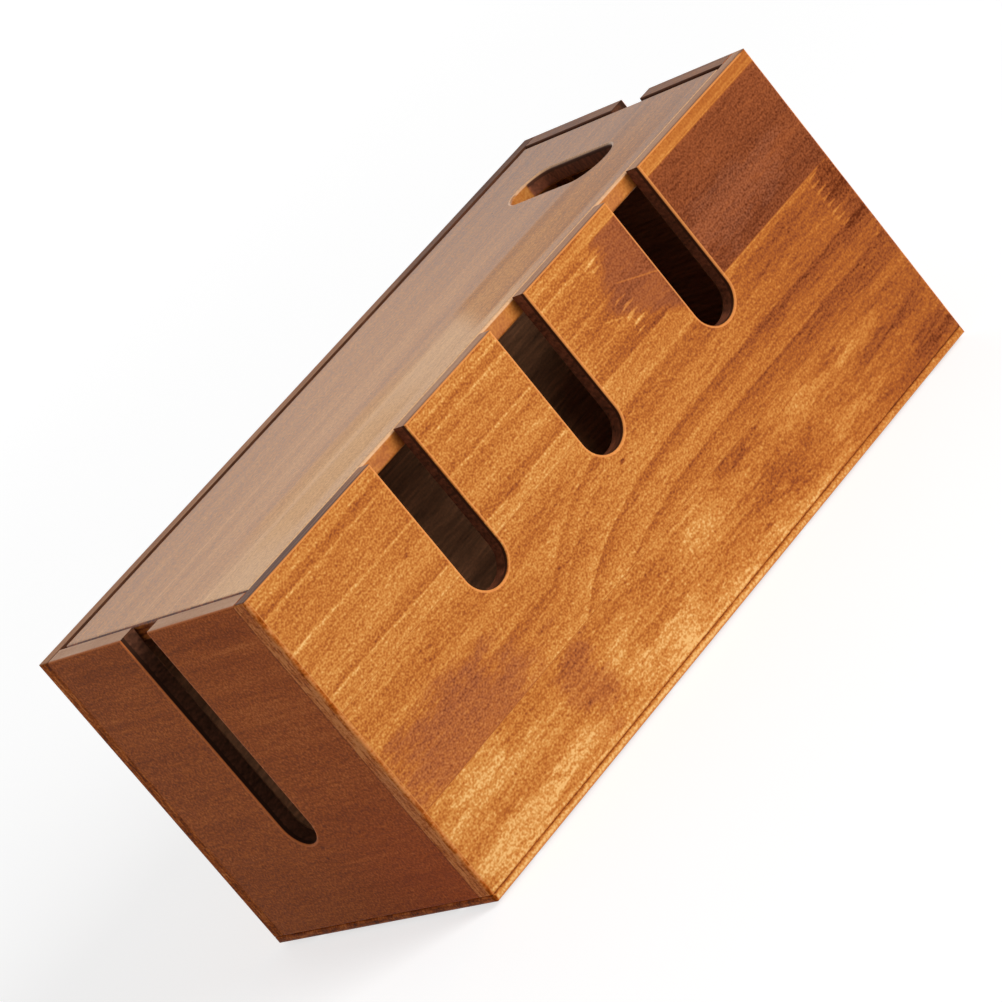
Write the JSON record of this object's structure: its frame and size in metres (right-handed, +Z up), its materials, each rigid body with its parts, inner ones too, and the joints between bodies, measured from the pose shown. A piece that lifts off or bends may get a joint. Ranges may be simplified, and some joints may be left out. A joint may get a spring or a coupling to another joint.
{
  "type": "cable management box",
  "caption": "Long wooden box that hides a power strip: open-topped cable slots in the front and ends, and a drop-in lid lifted by a finger hole.",
  "frame": {"origin": "centre of the footprint, on the surface that the foot pads stand on", "axes": "+X along the box, towards the end with the lid's finger hole; +Y from the slotted front to the back; +Z up, the way the lid lifts"},
  "size_m": [0.303, 0.141, 0.1355],
  "materials": {
    "face_wood": "finger-jointed staves, satin lacquer",
    "end_wood": "fine grain across the board, satin lacquer",
    "lid_wood": "fine grain along the board, satin lacquer",
    "base_wood": "thin sheet, satin lacquer",
    "rest_wood": "plain sawn block, lacquered",
    "foot_pad": "matt self-adhesive pad",
    "screw_steel": "zinc-plated"
  },
  "bodies": {
    "box": {"front_panel": "face_wood", "back_panel": "face_wood", "left_end_panel": "end_wood", "right_end_panel": "end_wood", "base_panel": "base_wood", "lid_rest_front_left": "rest_wood", "lid_rest_front_right": "rest_wood", "lid_rest_back_left": "rest_wood", "lid_rest_back_right": "rest_wood", "foot_front_left": "foot_pad", "foot_front_right": "foot_pad", "foot_back_left": "foot_pad", "foot_back_right": "foot_pad", "base_screws": "screw_steel"},
    "lid": {"lid_panel": "lid_wood"}
  },
  "joints": [
    {"name": "lid_lift", "type": "slide", "parent": "box", "child": "lid", "axis": [0, 0, 1], "range_m": [0, 0.06]}
  ]
}
